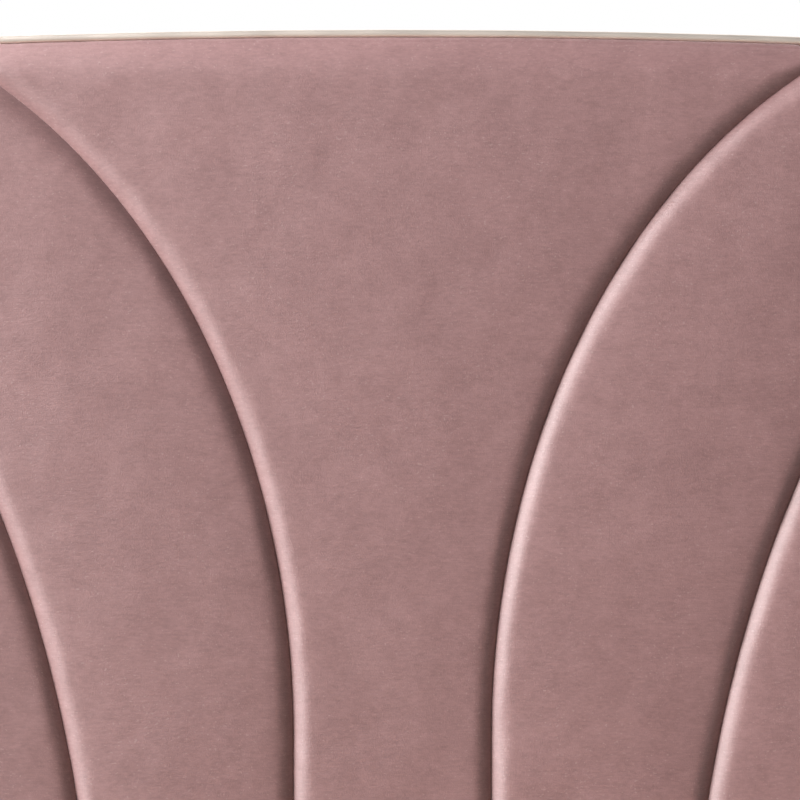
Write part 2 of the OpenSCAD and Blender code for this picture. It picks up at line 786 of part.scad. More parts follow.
module wood_screws() {
    color("silver") {
        for (i = [1 : slat_count]) at_slat_screws(i) wood_screw(slat_screw_l);
        at_ledge_screws() wood_screw(ledge_screw_l);
        at_hanger_screws() wood_screw(hanger_screw_l);
        at_leg_screws() wood_screw(leg_screw_l, 0, 1.5 * screw_r);
        at_plate_screws() wood_screw(plate_screw_l);
    }
}

// ---- The bed --------------------------------------------------------------------------------

for (name = ["left", "right"]) {
    headboard_post(name);
    trim_side(name);
    side_rail(name);
    side_rail_cover(name);
    slat_ledge(name);
    corner_leg(head_leg_pos, name);
    corner_leg(foot_leg_pos, name);
    for (i = [1 : pads_per_side])
        channel_pad(i, name);
}
for (i = [0, 1]) {
    end = ["head", "foot"][i];
    centre_leg(i);
    leveller_pad(i);
    leveller_stud(i);
}
for (i = [1 : slat_count])
    slat(i);
headboard_top_rail();
headboard_middle_rail();
headboard_bottom_rail();
headboard_stile();
headboard_face_board();
headboard_back_panel();
headboard_lower_panel();
channel_boards();
channel_pad(0);  // channel_pad_centre
trim_top();
foot_rail();
foot_rail_cover();
centre_rail();
centre_rail_hangers();
leg_glides();
leg_plates();
corner_brackets();
bracket_bolts();
t_nuts();
wood_screws();
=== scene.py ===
# %% [markdown]
# # A velvet bed with a fanned headboard
# The real object is a queen-size bed. Its tall headboard is made of nine separately padded channels that
# open like a fan, under a thin champagne metal trim. The timber, metal and screws arrive as finished CAD
# nodes. This script upholsters them: it makes every soft piece again as foam under velvet, and gives each
# CAD node a material. Everything is in metres, +X to the right, +Y towards the headboard and +Z up.

import math

import bmesh
import bpy
import numpy as np
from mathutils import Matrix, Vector, noise
from mathutils.bvhtree import BVHTree
from mathutils.geometry import delaunay_2d_cdt


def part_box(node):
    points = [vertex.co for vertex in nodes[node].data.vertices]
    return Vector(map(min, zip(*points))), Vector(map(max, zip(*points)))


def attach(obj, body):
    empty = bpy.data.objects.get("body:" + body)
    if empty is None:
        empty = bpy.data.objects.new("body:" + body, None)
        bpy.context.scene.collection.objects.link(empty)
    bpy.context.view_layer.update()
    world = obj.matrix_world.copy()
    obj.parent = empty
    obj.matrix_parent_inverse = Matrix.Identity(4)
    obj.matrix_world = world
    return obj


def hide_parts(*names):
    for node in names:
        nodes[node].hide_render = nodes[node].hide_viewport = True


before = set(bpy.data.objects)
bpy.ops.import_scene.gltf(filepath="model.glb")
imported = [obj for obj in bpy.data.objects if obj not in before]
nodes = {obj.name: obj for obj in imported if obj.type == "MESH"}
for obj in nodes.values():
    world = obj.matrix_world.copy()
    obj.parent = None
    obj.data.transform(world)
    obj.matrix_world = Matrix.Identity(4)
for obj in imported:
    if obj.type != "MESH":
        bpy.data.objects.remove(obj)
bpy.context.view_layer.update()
scene = bpy.context.scene

# %% [markdown]
# ## Where things are
# Every place is read from the CAD boxes, so the pieces follow the model if a size is changed. The faces of
# the pads look towards -Y, and the crown is the highest point of the trim.

# %% Places read from the frame
face_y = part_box("channel_pad_centre")[0].y
board_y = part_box("channel_boards")[0].y
crown_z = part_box("trim_top")[1].z
print("pad face at y", round(face_y, 4), "crown at z", round(crown_z, 4))

# %% [markdown]
# ## Camera
# The bed is seen straight on, as a close-up of the top of the headboard. A long lens far away keeps the
# channels free of perspective. The view is 774 mm wide at the face of the pads.

# %% Camera
VIEW_WIDTH = 0.7744
CAMERA_DISTANCE = 3.6
VIEW_CENTRE_X = 0.0074
VIEW_CENTRE_DROP = 0.3604      # the view's middle lies this far below the crown
FARTHEST_SEEN = 100

camera_data = bpy.data.cameras.new("camera")
camera_data.lens = camera_data.sensor_width * CAMERA_DISTANCE / VIEW_WIDTH
camera_data.clip_end = FARTHEST_SEEN
camera = bpy.data.objects.new("camera", camera_data)
scene.collection.objects.link(camera)
camera.location = (VIEW_CENTRE_X, face_y - CAMERA_DISTANCE, crown_z - VIEW_CENTRE_DROP)
camera.rotation_euler = (math.radians(90), 0, 0)
scene.camera = camera
print("lens", round(camera_data.lens, 1), "mm")

# %% [markdown]
# ## Light and floor
# A soft light to the left of the headboard, nearly level with it, grazes the pads: it brightens each rolled
# edge that faces it and leaves the other side of each valley dark. The lights that stand behind the
# headboard reach everything but the pads. A plain white world stands round it all. The Light Path node lets
# it look white and shine in the metal, and yet fill the shadows only a little.

# %% World, lights and floor
scene.view_settings.view_transform = "Standard"

world = bpy.data.worlds.new("studio")
scene.world = world
world.use_nodes = True
SKY = {"seen": 1.0, "mirrored": 0.2, "fill": 0.024}
KEY_ANGLE = math.radians(60)   # between the key light and the straight view of the pads
KEY_HEIGHT = math.radians(14)
KEY_DISTANCE = 25.0
KEY_SIZE = 9.0
KEY_POWER = 10500
KEY_COLOUR = (1, 0.985, 0.98)
FLOOR_SIZE = 26
FLOOR_GLOW = 0.30              # keeps the far floor pale to the eye; it lights nothing


def build_sky(tree):
    """A white sky: bright behind the bed and in its metal, and weak as a fill light, to keep folds shaded."""
    path = tree.nodes.new("ShaderNodeLightPath")
    strength = tree.nodes["Background"].inputs["Strength"]
    tree.nodes["Background"].inputs["Color"].default_value = (1, 1, 1, 1)
    total = None
    for ray, key in (("Is Camera Ray", "seen"), ("Is Glossy Ray", "mirrored")):
        extra = tree.nodes.new("ShaderNodeMath")
        extra.operation = "MULTIPLY_ADD"
        tree.links.new(path.outputs[ray], extra.inputs[0])
        extra.inputs[1].default_value = SKY[key] - SKY["fill"]
        extra.inputs[2].default_value = SKY["fill"]
        if total:
            tree.links.new(total, extra.inputs[2])
        total = extra.outputs[0]
    tree.links.new(total, strength)


build_sky(world.node_tree)


def area_light(name, location, target, size, power, colour=(1, 1, 1)):
    """A square soft light at location that points at target."""
    data = bpy.data.lights.new(name, "AREA")
    data.shape = "SQUARE"
    data.size = size
    data.energy = power
    data.color = colour
    light = bpy.data.objects.new(name, data)
    light.location = location
    direction = Vector(target) - Vector(location)
    light.rotation_euler = direction.to_track_quat("-Z", "Y").to_euler()
    scene.collection.objects.link(light)
    return light


headboard_middle = Vector((0, face_y, 1.2))
key_direction = Vector((-math.sin(KEY_ANGLE) * math.cos(KEY_HEIGHT),
                        -math.cos(KEY_ANGLE) * math.cos(KEY_HEIGHT), math.sin(KEY_HEIGHT)))
area_light("key", headboard_middle + key_direction * KEY_DISTANCE, headboard_middle,
           KEY_SIZE, KEY_POWER, KEY_COLOUR)
area_light("room", (0.6, -3.5, 3.4), (0, 0, 0.4), 3.0, 3)
area_light("ceiling", (0, -0.6, 5.5), (0, -0.6, 0), 5.0, 12)
area_light("top_left", (-1.30, face_y - 0.20, crown_z + 0.80), (-0.2, face_y, crown_z - 0.05), 0.5, 30)
area_light("rear_floor", (0, face_y + 7, 7), (0, face_y + 7, 0), 9.0, 350)
for side, power in ((-1, 35), (1, 130)):   # like the one above, behind the pads, so as to light only the rest
    area_light("rear", (4.4 * side, face_y + 1.8, 2.7), (0, 0.3, 0.3), 2.6, power)

half = FLOOR_SIZE / 2
floor_mesh = bpy.data.meshes.new("floor")
floor_mesh.from_pydata([(-half, -half, 0), (half, -half, 0), (half, half, 0), (-half, half, 0)],
                       [], [(0, 1, 2, 3)])
floor = bpy.data.objects.new("floor", floor_mesh)
scene.collection.objects.link(floor)
floor_paint = bpy.data.materials.new("floor_paint")
floor_paint.use_nodes = True
floor_shader = floor_paint.node_tree.nodes["Principled BSDF"]
floor_shader.inputs["Base Color"].default_value = (0.62, 0.61, 0.60, 1)
floor_shader.inputs["Roughness"].default_value = 0.7
floor_shader.inputs["Emission Color"].default_value = (FLOOR_GLOW, FLOOR_GLOW, FLOOR_GLOW, 1)
seen_by_camera = floor_paint.node_tree.nodes.new("ShaderNodeLightPath").outputs["Is Camera Ray"]
floor_paint.node_tree.links.new(seen_by_camera, floor_shader.inputs["Emission Strength"])
floor_mesh.materials.append(floor_paint)

# %% [markdown]
# ## Small tools for node graphs
# A material here is a list of nodes and links. These helpers keep each one short: they add a node and set
# its sockets, start a shader node group with named inputs and outputs, and make the few sums that many
# finishes need.

# %% Node helpers
def feed(tree, socket, value):
    """Gives an input socket a constant, or a link from another node's output socket."""
    if isinstance(value, bpy.types.NodeSocket):
        tree.links.new(value, socket)
    else:
        socket.default_value = value


def add_node(tree, kind, inputs=None, **settings):
    """Adds a node; inputs maps socket names to a constant or to another node's output socket."""
    node = tree.nodes.new(kind)
    for name, value in settings.items():
        setattr(node, name, value)
    for name, value in (inputs or {}).items():
        feed(tree, node.inputs[name], value)
    return node


def new_group(name, inputs, outputs):
    """A shader node group. inputs are (name, kind, default), outputs are (name, kind)."""
    tree = bpy.data.node_groups.new(name, "ShaderNodeTree")
    for socket_name, kind, default in inputs:
        socket = tree.interface.new_socket(socket_name, in_out="INPUT", socket_type="NodeSocket" + kind)
        socket.default_value = default
    for socket_name, kind in outputs:
        tree.interface.new_socket(socket_name, in_out="OUTPUT", socket_type="NodeSocket" + kind)
    return tree, tree.nodes.new("NodeGroupInput").outputs, tree.nodes.new("NodeGroupOutput").inputs


def maths(tree, operation, a, b=0.0, clamp=False):
    node = tree.nodes.new("ShaderNodeMath")
    node.operation = operation
    node.use_clamp = clamp
    for socket, value in zip(node.inputs, (a, b)):
        feed(tree, socket, value)
    return node.outputs[0]


def weighted(tree, *layers, clamp=False):
    """The sum of layers, each a socket and its share."""
    total = maths(tree, "MULTIPLY", *layers[0])
    for layer, share in layers[1:]:
        total = maths(tree, "ADD", total, maths(tree, "MULTIPLY", layer, share), clamp)
    return total


def mix_colour(tree, factor, a, b):
    node = tree.nodes.new("ShaderNodeMix")
    node.data_type = "RGBA"
    for name, value in (("Factor_Float", factor), ("A_Color", a), ("B_Color", b)):
        feed(tree, next(s for s in node.inputs if s.identifier == name), value)
    return next(s for s in node.outputs if s.identifier == "Result_Color")


def add_bump(tree, shader, height, strength, distance):
    """Gives the shader small relief; distance is its full height in metres."""
    bump = add_node(tree, "ShaderNodeBump", {"Height": height, "Strength": strength, "Distance": distance})
    tree.links.new(bump.outputs["Normal"], shader.inputs["Normal"])


def material(name, **principled):
    """A material, its tree and its Principled shader, with the given constants set on the shader."""
    mat = bpy.data.materials.new(name)
    mat.use_nodes = True
    shader = mat.node_tree.nodes["Principled BSDF"]
    for key, value in principled.items():
        shader.inputs[key.replace("_", " ")].default_value = value
    return mat, mat.node_tree, shader


# %% [markdown]
# ## Noise in place
# Several finishes need the same thing: a noise that is stretched along one axis, in the bed's own
# coordinates, turned into a mask between two limits. Built once as a group, it makes velvet clouds, pile
# streaks and timber.

# %% Group: stretched noise
def build_stretched_noise():
    tree, given, out = new_group(
        "stretched_noise",
        [("Size", "Vector", (0.05, 0.05, 0.05)), ("Detail", "Float", 2.0), ("Low", "Float", 0.35),
         ("High", "Float", 0.65), ("Swirl", "Float", 0.0)],
        [("Mask", "Float")])
    place = add_node(tree, "ShaderNodeTexCoord").outputs["Object"]
    scaled = add_node(tree, "ShaderNodeVectorMath", {0: place, 1: given["Size"]},
                      operation="DIVIDE").outputs[0]
    pattern = add_node(tree, "ShaderNodeTexNoise",
                       {"Vector": scaled, "Scale": 1.0, "Detail": given["Detail"],
                        "Distortion": given["Swirl"]})
    limits = add_node(tree, "ShaderNodeMapRange",
                      {"Value": pattern.outputs["Fac"], "From Min": given["Low"], "From Max": given["High"]})
    tree.links.new(limits.outputs["Result"], out["Mask"])
    return tree


stretched_noise = build_stretched_noise()


def noise_mask(tree, size, detail=2.0, low=0.3, high=0.7, swirl=0.0):
    """Places the group in a material; size is one length for all three axes, or one for each."""
    size = size if isinstance(size, tuple) else (size, size, size)
    values = {"Size": size, "Detail": detail, "Low": low, "High": high, "Swirl": swirl}
    return add_node(tree, "ShaderNodeGroup", values, node_tree=stretched_noise).outputs["Mask"]


# %% [markdown]
# ## Velvet
# Velvet is a short upright pile. Seen straight on it is deep in colour, and at a glancing angle the fibre
# ends catch light, so rolled edges shine. The shader's sheen lobe does that. What makes it look like cloth
# and not like plastic is smaller: cloudy patches where the pile leans another way, faint level streaks from
# the loom, a fine grain of pile, and a few pale specks of lint.

# %% Velvet
LINT = (0.70, 0.56, 0.53, 1)
LINT_SHARE = 0.12


def build_velvet(name, deep, pale):
    mat, tree, shader = material(name, Roughness=0.6, Sheen_Weight=0.9, Sheen_Roughness=0.4,
                                 Sheen_Tint=(1.0, 0.93, 0.92, 1), Specular_IOR_Level=1.0, IOR=1.7)
    clouds = noise_mask(tree, (0.085, 0.085, 0.07), 3.0, swirl=0.6)
    patches = noise_mask(tree, (0.017, 0.017, 0.012), 3.0)
    dabs = noise_mask(tree, (0.0055, 0.0055, 0.0028))
    streaks = noise_mask(tree, (0.011, 0.011, 0.0014))
    pile = noise_mask(tree, (0.0011, 0.0011, 0.0013), 1.0, 0.25, 0.75)
    flecks = noise_mask(tree, (0.0026, 0.0026, 0.0017), 0.0, 0.72, 0.82)
    total = weighted(tree, (clouds, 0.17), (patches, 0.20), (dabs, 0.28), (streaks, 0.18), (pile, 0.16))
    colour = mix_colour(tree, total, deep, pale)
    colour = mix_colour(tree, maths(tree, "MULTIPLY", flecks, LINT_SHARE), colour, LINT)
    tree.links.new(colour, shader.inputs["Base Color"])
    add_bump(tree, shader, weighted(tree, (pile, 0.6), (streaks, 0.4)), 0.3, 0.0006)
    return mat


velvet = build_velvet("velvet", (0.152, 0.051, 0.051, 1), (0.314, 0.151, 0.150, 1))
print("velvet nodes:", len(velvet.node_tree.nodes))

# %% [markdown]
# ## Back cloth
# The back of a headboard gets a cheap plain weave. Two sets of thin sine waves at right angles make the
# threads, and noise makes each thread uneven.

# %% Back cloth
THREADS_PER_METRE = 900


def build_back_cloth(name, dark, pale):
    mat, tree, shader = material(name, Specular_IOR_Level=0.2, Sheen_Weight=0.15, Sheen_Roughness=0.6)
    place = add_node(tree, "ShaderNodeTexCoord").outputs["Object"]
    slubs = noise_mask(tree, (0.012, 0.012, 0.0012))
    shade = noise_mask(tree, 0.11)
    parts = add_node(tree, "ShaderNodeSeparateXYZ", {0: place}).outputs
    waves = []
    for axis in ("X", "Z"):
        turned = maths(tree, "MULTIPLY", parts[axis], THREADS_PER_METRE * math.pi)
        waves.append(maths(tree, "ABSOLUTE", maths(tree, "SINE", turned)))
    weave = maths(tree, "MULTIPLY", waves[0], waves[1])
    total = weighted(tree, (weave, 0.45), (slubs, 0.30), (shade, 0.25))
    tree.links.new(mix_colour(tree, total, dark, pale), shader.inputs["Base Color"])
    tree.links.new(maths(tree, "ADD", 0.8, maths(tree, "MULTIPLY", slubs, 0.12)), shader.inputs["Roughness"])
    add_bump(tree, shader, weave, 0.4, 0.0004)
    return mat


back_cloth = build_back_cloth("back_cloth", (0.115, 0.098, 0.096, 1), (0.205, 0.178, 0.172, 1))

# %% [markdown]
# ## Metal
# The trim and legs are satin champagne metal. Long brushing marks run along them, so the bump and the
# roughness use a noise that is stretched along the piece.

# %% Metals
def build_metal(name, colour, roughness, marks=(0.25, 0.0012, 0.0012), bump_strength=0.08, metallic=1.0):
    mat, tree, shader = material(name, Metallic=metallic)
    brushed = noise_mask(tree, marks, 3.0, 0.2, 0.8)
    smudges = noise_mask(tree, 0.05, 2.0, 0.35, 0.75)
    darker = tuple(0.86 * c for c in colour[:3]) + (1,)
    tree.links.new(mix_colour(tree, brushed, darker, colour), shader.inputs["Base Color"])
    rough = maths(tree, "ADD", roughness - 0.05, maths(tree, "MULTIPLY", smudges, 0.1))
    tree.links.new(rough, shader.inputs["Roughness"])
    add_bump(tree, shader, brushed, bump_strength, 0.0003)
    return mat


champagne = build_metal("champagne_metal", (0.92, 0.82, 0.74, 1), 0.52)
black_steel = build_metal("black_steel", (0.045, 0.045, 0.05, 1), 0.55, (0.004, 0.004, 0.004), 0.25, 0.0)
zinc = build_metal("zinc_steel", (0.62, 0.63, 0.66, 1), 0.35, (0.003, 0.003, 0.003), 0.05)

# %% [markdown]
# ## Timber
# Sawn boards show long grain lines that wander, darker late-wood bands, and fine pores. The lines run along
# the board, so each board's material is told its own long axis.

# %% Timber
def build_timber(name, pale, dark, along, ring_size=0.012, roughness=0.62):
    """Timber whose grain runs along the axis numbered along: 0, 1 or 2."""
    mat, tree, shader = material(name, Specular_IOR_Level=0.3)

    def stretch(across, lengthways):
        size = [across] * 3
        size[along] = lengthways
        return tuple(size)

    rings = noise_mask(tree, stretch(ring_size, 0.55), swirl=1.2)
    fibres = noise_mask(tree, stretch(0.0016, 0.09), 3.0, 0.3, 0.75)
    tone = noise_mask(tree, stretch(0.14, 0.7), 1.0)
    bands = maths(tree, "PINGPONG", maths(tree, "MULTIPLY", rings, 5.0), 1.0)
    total = weighted(tree, (bands, 0.45), (fibres, 0.3), (tone, 0.25), clamp=True)
    tree.links.new(mix_colour(tree, total, pale, dark), shader.inputs["Base Color"])
    rough = maths(tree, "ADD", roughness - 0.07, maths(tree, "MULTIPLY", fibres, 0.15))
    tree.links.new(rough, shader.inputs["Roughness"])
    add_bump(tree, shader, total, 0.3, 0.0005)
    return mat


pine = [build_timber("pine_along_" + "xyz"[axis], (0.66, 0.49, 0.30, 1), (0.43, 0.27, 0.13, 1), axis)
        for axis in range(3)]
beech_slat = build_timber("slat_timber", (0.76, 0.60, 0.42, 1), (0.56, 0.39, 0.23, 1), 0, 0.02)
plywood = build_timber("plywood", (0.70, 0.55, 0.37, 1), (0.52, 0.36, 0.20, 1), 2, 0.03)
black_paint = build_timber("black_painted_timber", (0.020, 0.020, 0.021, 1), (0.034, 0.033, 0.033, 1), 2)

# %% [markdown]
# ## Nylon
# Glides and levelling pads are moulded black nylon: dull, with a fine spark-eroded texture.

# %% Nylon
def build_nylon():
    mat, tree, shader = material("black_nylon", Specular_IOR_Level=0.4)
    grain = noise_mask(tree, 0.0007, 1.0)
    tree.links.new(mix_colour(tree, grain, (0.022, 0.022, 0.023, 1), (0.034, 0.034, 0.035, 1)),
                   shader.inputs["Base Color"])
    tree.links.new(maths(tree, "ADD", 0.5, maths(tree, "MULTIPLY", grain, 0.15)), shader.inputs["Roughness"])
    add_bump(tree, shader, grain, 0.3, 0.0002)
    return mat


nylon = build_nylon()

# %% Materials for the CAD nodes
FINISH = {
    "headboard_post": pine[2], "headboard_stile": pine[2],
    "headboard_top_rail": pine[0], "headboard_middle_rail": pine[0], "headboard_bottom_rail": pine[0],
    "foot_rail": pine[0], "side_rail": pine[1], "slat_ledge": pine[1], "centre_rail": pine[1],
    "centre_rail_hangers": black_steel, "centre_leg": black_paint,
    "headboard_face_board": plywood, "channel_boards": plywood,
    "slat_": beech_slat, "slat_ledge_": pine[1],
    "trim": champagne, "head_leg": champagne, "foot_leg": champagne,
    "leg_plates": black_steel, "corner_brackets": black_steel,
    "bracket_bolts": zinc, "t_nuts": zinc, "wood_screws": zinc, "leveller_stud": zinc,
    "leveller_pad": nylon, "leg_glides": nylon,
}


def finish_for(name):
    """The finish with the longest key that starts the node's name."""
    keys = [key for key in FINISH if name.startswith(key)]
    return FINISH[max(keys, key=len)] if keys else velvet


for name, node in nodes.items():
    node.data.materials.clear()
    node.data.materials.append(finish_for(name))
print("finishes given to", len(nodes), "nodes")

# %% [markdown]
# ## The outline of a pad
# Each pad is a flat-fronted CAD block whose front face has exactly the outline that the upholsterer cuts
# the foam to. Its outline is read from the block: the edges that only one front triangle uses, put in
# order. The longest loop of such edges is the outline, and any shorter one is the rim of a hole.

# %% Reading an outline
def front_outline(name):
    """The corner points (x, z) of a node's front face, in order round it; holes in the face are left out."""
    mesh = nodes[name].data
    key = [(round(v.co.x, 5), round(v.co.z, 5)) for v in mesh.vertices]
    front = min(v.co.y for v in mesh.vertices) + 1e-5
    directed = set()
    for polygon in mesh.polygons:
        corners = list(polygon.vertices)
        if all(mesh.vertices[i].co.y < front for i in corners):
            directed |= {(key[a], key[b]) for a, b in zip(corners, corners[1:] + corners[:1])
                         if key[a] != key[b]}
    following = dict((a, b) for a, b in directed if (b, a) not in directed)
    loops = []
    while following:
        a, b = following.popitem()
        loop = [a]
        while b != a:
            loop.append(b)
            b = following.pop(b)
        loops.append(np.array(loop))
    return max(loops, key=lambda loop: np.ptp(loop[:, 0]) + np.ptp(loop[:, 1]))


def turning(points):
    """How sharply a closed line turns at each of its points, in degrees."""
    before = points - np.roll(points, 1, axis=0)
    after = np.roll(points, -1, axis=0) - points
    cross = before[:, 0] * after[:, 1] - before[:, 1] * after[:, 0]
    return np.degrees(np.abs(np.arctan2(cross, (before * after).sum(1))))


# %% [markdown]
# The block's curves are made of straight facets. Between its real corners the outline is drawn again as one
# smooth curve through the same points, with a new point every few millimetres, so that the light runs
# evenly along each rolled edge. The slope at a point leans towards its shorter neighbour, so a long
# straight run stays straight.

# %% Smoothing an outline
EDGE_SPACING = 0.006           # between the points along a pad's edge
CORNER_TURN = 14               # degrees; anything sharper is a real corner
STRAIGHT_RATIO = 4             # a piece this much longer than its neighbour is a real straight line


def smooth_run(run, spacing):
    """Points at even spacing along a smooth curve through run, without its last point."""
    lengths = np.linalg.norm(np.diff(run, axis=0), axis=1)[:, None]
    slopes = np.diff(run, axis=0) / lengths
    before, after = lengths[:-1], lengths[1:]
    inner = (slopes[:-1] * after + slopes[1:] * before) / (before + after)
    inner = np.where(before > STRAIGHT_RATIO * after, slopes[:-1], inner)
    inner = np.where(after > STRAIGHT_RATIO * before, slopes[1:], inner)
    slopes = np.vstack([slopes[:1], inner, slopes[-1:]])
    t = np.linspace(0, 1, 12, endpoint=False)[:, None]
    fine = np.vstack([(1 + 2 * t) * (1 - t) ** 2 * a + t * (1 - t) ** 2 * length * leave
                      + t ** 2 * (3 - 2 * t) * b + t ** 2 * (t - 1) * length * arrive
                      for a, b, length, leave, arrive in zip(run, run[1:], lengths, slopes, slopes[1:])]
                     + [run[-1:]])
    walked = np.concatenate([[0], np.cumsum(np.linalg.norm(np.diff(fine, axis=0), axis=1))])
    steps = max(1, round(walked[-1] / spacing))
    at = np.linspace(0, walked[-1], steps + 1)[:-1]
    return np.column_stack([np.interp(at, walked, fine[:, k]) for k in (0, 1)])


def smooth_outline(points, spacing):
    """The closed outline with an even spacing, anticlockwise; its real corners are kept."""
    area = np.sum(points[:, 0] * np.roll(points[:, 1], -1) - np.roll(points[:, 0], -1) * points[:, 1])
    points = points if area > 0 else points[::-1]
    corners = list(np.nonzero(turning(points) > CORNER_TURN)[0])
    points = np.roll(points, -corners[0], axis=0)
    corners = [c - corners[0] for c in corners] + [len(points)]
    closed = np.vstack([points, points[:1]])
    return np.vstack([smooth_run(closed[a:b + 1], spacing) for a, b in zip(corners, corners[1:])])


sample = smooth_outline(front_outline("channel_pad_centre"), EDGE_SPACING)
print("centre pad outline:", len(sample), "points, width", round(float(np.ptp(sample[:, 0])), 4))

# %% [markdown]
# ## How a pad is shaped
# A channel pad is foam under tight velvet. Its face is almost flat, it rolls over at each valley, and at
# the trim it only tucks under the metal bead. So the depth of each point of its face follows from two
# distances: how far it is from a valley, and how far it is from the trim.

# %% Distances in the plane
ROLL_END = 0.60                # 1 would be a full quarter round, upright at the valley


def edge_distance(points, starts, ends):
    """The distance of each point to the nearest of the straight pieces from starts to ends."""
    best = np.full(len(points), 1e3)
    for a, b in zip(starts, ends):
        along = b - a
        t = np.clip(((points - a) @ along) / (along @ along), 0, 1)
        best = np.minimum(best, np.linalg.norm(points - a - t[:, None] * along, axis=1))
    return best


def roll_depth(distance, width, depth):
    """How far a rolled edge has dropped at a distance from it. It is a little less than a quarter round,
    so that two pads meet in a narrow V and not in a crack."""
    inwards = ROLL_END * np.clip(1 - distance / width, 0, 1)
    return depth * (1 - np.sqrt(1 - inwards ** 2)) / (1 - math.sqrt(1 - ROLL_END ** 2))


def smooth_step(low, high, value):
    t = np.clip((value - low) / (high - low), 0, 1)
    return t * t * (3 - 2 * t)


def noise_at(points, size, seed):
    """Smooth noise from -1 to 1 at points (x, z); size is its grain in metres."""
    return np.array([noise.noise((x / size, seed, z / size)) for x, z in points])


# %% [markdown]
# The face is laid out as rings of points that follow the outline closely where the pad rolls over, and as a
# looser net of triangles in the middle. Blender's Delaunay tool joins them.

# %% A net of points over an outline
RINGS = (0.0006, 0.0016, 0.003, 0.005, 0.0075, 0.0105, 0.014, 0.018, 0.023, 0.029)


def inward_normals(outline):
    tangent = np.roll(outline, -1, axis=0) - np.roll(outline, 1, axis=0)
    normal = np.column_stack([-tangent[:, 1], tangent[:, 0]])
    return normal / np.linalg.norm(normal, axis=1)[:, None]


def net_points(outline, rings, spacing):
    """The outline's points first, then its rings, then a triangular net at the given spacing."""
    normals = inward_normals(outline)
    ends = np.roll(outline, -1, axis=0)
    layers = [outline]
    for offset in rings:
        ring = outline + normals * offset
        layers.append(ring[edge_distance(ring, outline, ends) > offset * 0.97])
    low, high = outline.min(0), outline.max(0)
    rows = []
    for row, z in enumerate(np.arange(low[1], high[1], spacing * math.sqrt(0.75))):
        xs = np.arange(low[0] + (row % 2) * spacing / 2, high[0], spacing)
        rows.append(np.column_stack([xs, np.full(len(xs), z)]))
    net = np.vstack(rows)
    inside = inside_outline(net, outline)
    net = net[inside]
    margin = (rings[-1] if rings else 0) + 0.6 * spacing
    layers.append(net[edge_distance(net, outline, ends) > margin])
    return np.vstack(layers)


def inside_outline(points, outline):
    """Which points lie inside a closed outline: a line to the right crosses it an odd number of times."""
    inside = np.zeros(len(points), bool)
    for (x0, z0), (x1, z1) in zip(outline, np.roll(outline, -1, axis=0)):
        if z0 != z1:
            crosses = (points[:, 1] < z0) != (points[:, 1] < z1)
            inside ^= crosses & (points[:, 0] < x0 + (points[:, 1] - z0) * (x1 - x0) / (z1 - z0))
    return inside


def triangulate(points, border_count):
    """Delaunay triangles over points; the first border_count of them are the outline in order. Two points
    that fall together become one."""
    edges = [(i, (i + 1) % border_count) for i in range(border_count)]
    result = delaunay_2d_cdt([Vector(p) for p in points], edges, [list(range(border_count))], 1, 1e-7)
    return np.array([[v.x, v.y] for v in result[0]]), [tuple(f) for f in result[2]]


# %% [markdown]
# ## Foam under tension
# A flat sheet of velvet, fixed along the outline and pushed forward by foam, bulges more where the pad is
# wide and less in its narrow tips. Blender's cloth simulation finds that shape: a coarse copy of the face
# is pinned at its border and put under pressure, and the bulge it takes is scaled to a few millimetres. The
# finished face, which has far more points, then reads its bulge from that coarse one.

# %% Cloth simulation of the bulge
SIM_SPACING = 0.020
SIM_FRAMES = 20
SIM_PRESSURE = 4.0
SIM_STIFFNESS = 40
SIM_BENDING = 2


def simulate_bulge(outline):
    """The coarse net's points (x, z), its triangles, and how far forward each point bulged in the simulation.
    """
    coarse = smooth_outline(outline, SIM_SPACING)
    points, faces = triangulate(net_points(coarse, (), SIM_SPACING), len(coarse))
    mesh = bpy.data.meshes.new("bulge")
    mesh.from_pydata([(x, 0, z) for x, z in points], [], faces)
    sheet = bpy.data.objects.new("bulge", mesh)
    scene.collection.objects.link(sheet)
    border = edge_distance(points, coarse, np.roll(coarse, -1, axis=0)) < 1e-4
    pins = sheet.vertex_groups.new(name="pins")
    pins.add([int(i) for i in np.nonzero(border)[0]], 1.0, "REPLACE")
    cloth = sheet.modifiers.new("cloth", "CLOTH")
    cloth.settings.vertex_group_mass = "pins"
    cloth.settings.use_pressure = True
    cloth.settings.uniform_pressure_force = SIM_PRESSURE
    cloth.settings.effector_weights.gravity = 0
    cloth.settings.tension_stiffness = SIM_STIFFNESS
    cloth.settings.compression_stiffness = SIM_STIFFNESS
    cloth.settings.bending_stiffness = SIM_BENDING
    cloth.point_cache.frame_start = 1
    cloth.point_cache.frame_end = SIM_FRAMES
    for step in range(1, SIM_FRAMES + 1):
        scene.frame_set(step)
    depsgraph = bpy.context.evaluated_depsgraph_get()
    moved = sheet.evaluated_get(depsgraph).to_mesh()
    bulge = np.array([abs(v.co.y) for v in moved.vertices])
    bpy.data.objects.remove(sheet)
    scene.frame_set(1)
    return points, faces, bulge


def bulge_over(outline, wanted):
    points, faces, bulge = simulate_bulge(outline)
    share = bulge / bulge.max()
    tree = BVHTree.FromPolygons([(x, s, z) for (x, z), s in zip(points, share)], faces)
    found = []
    for x, z in wanted:
        hit = tree.ray_cast((x, 5, z), (0, -1, 0))[0]
        found.append(hit.y if hit else 0.0)
    return np.array(found)


# %% [markdown]
# ## Making a padded piece
# The face comes forward from its net of points, the sides run straight back, and a flat back closes the
# piece. Where the pad meets the trim, the velvet swells a little over the lip of the metal, so no gap
# shows; close to a valley it draws back and the lip comes into view, as it does on the real headboard.

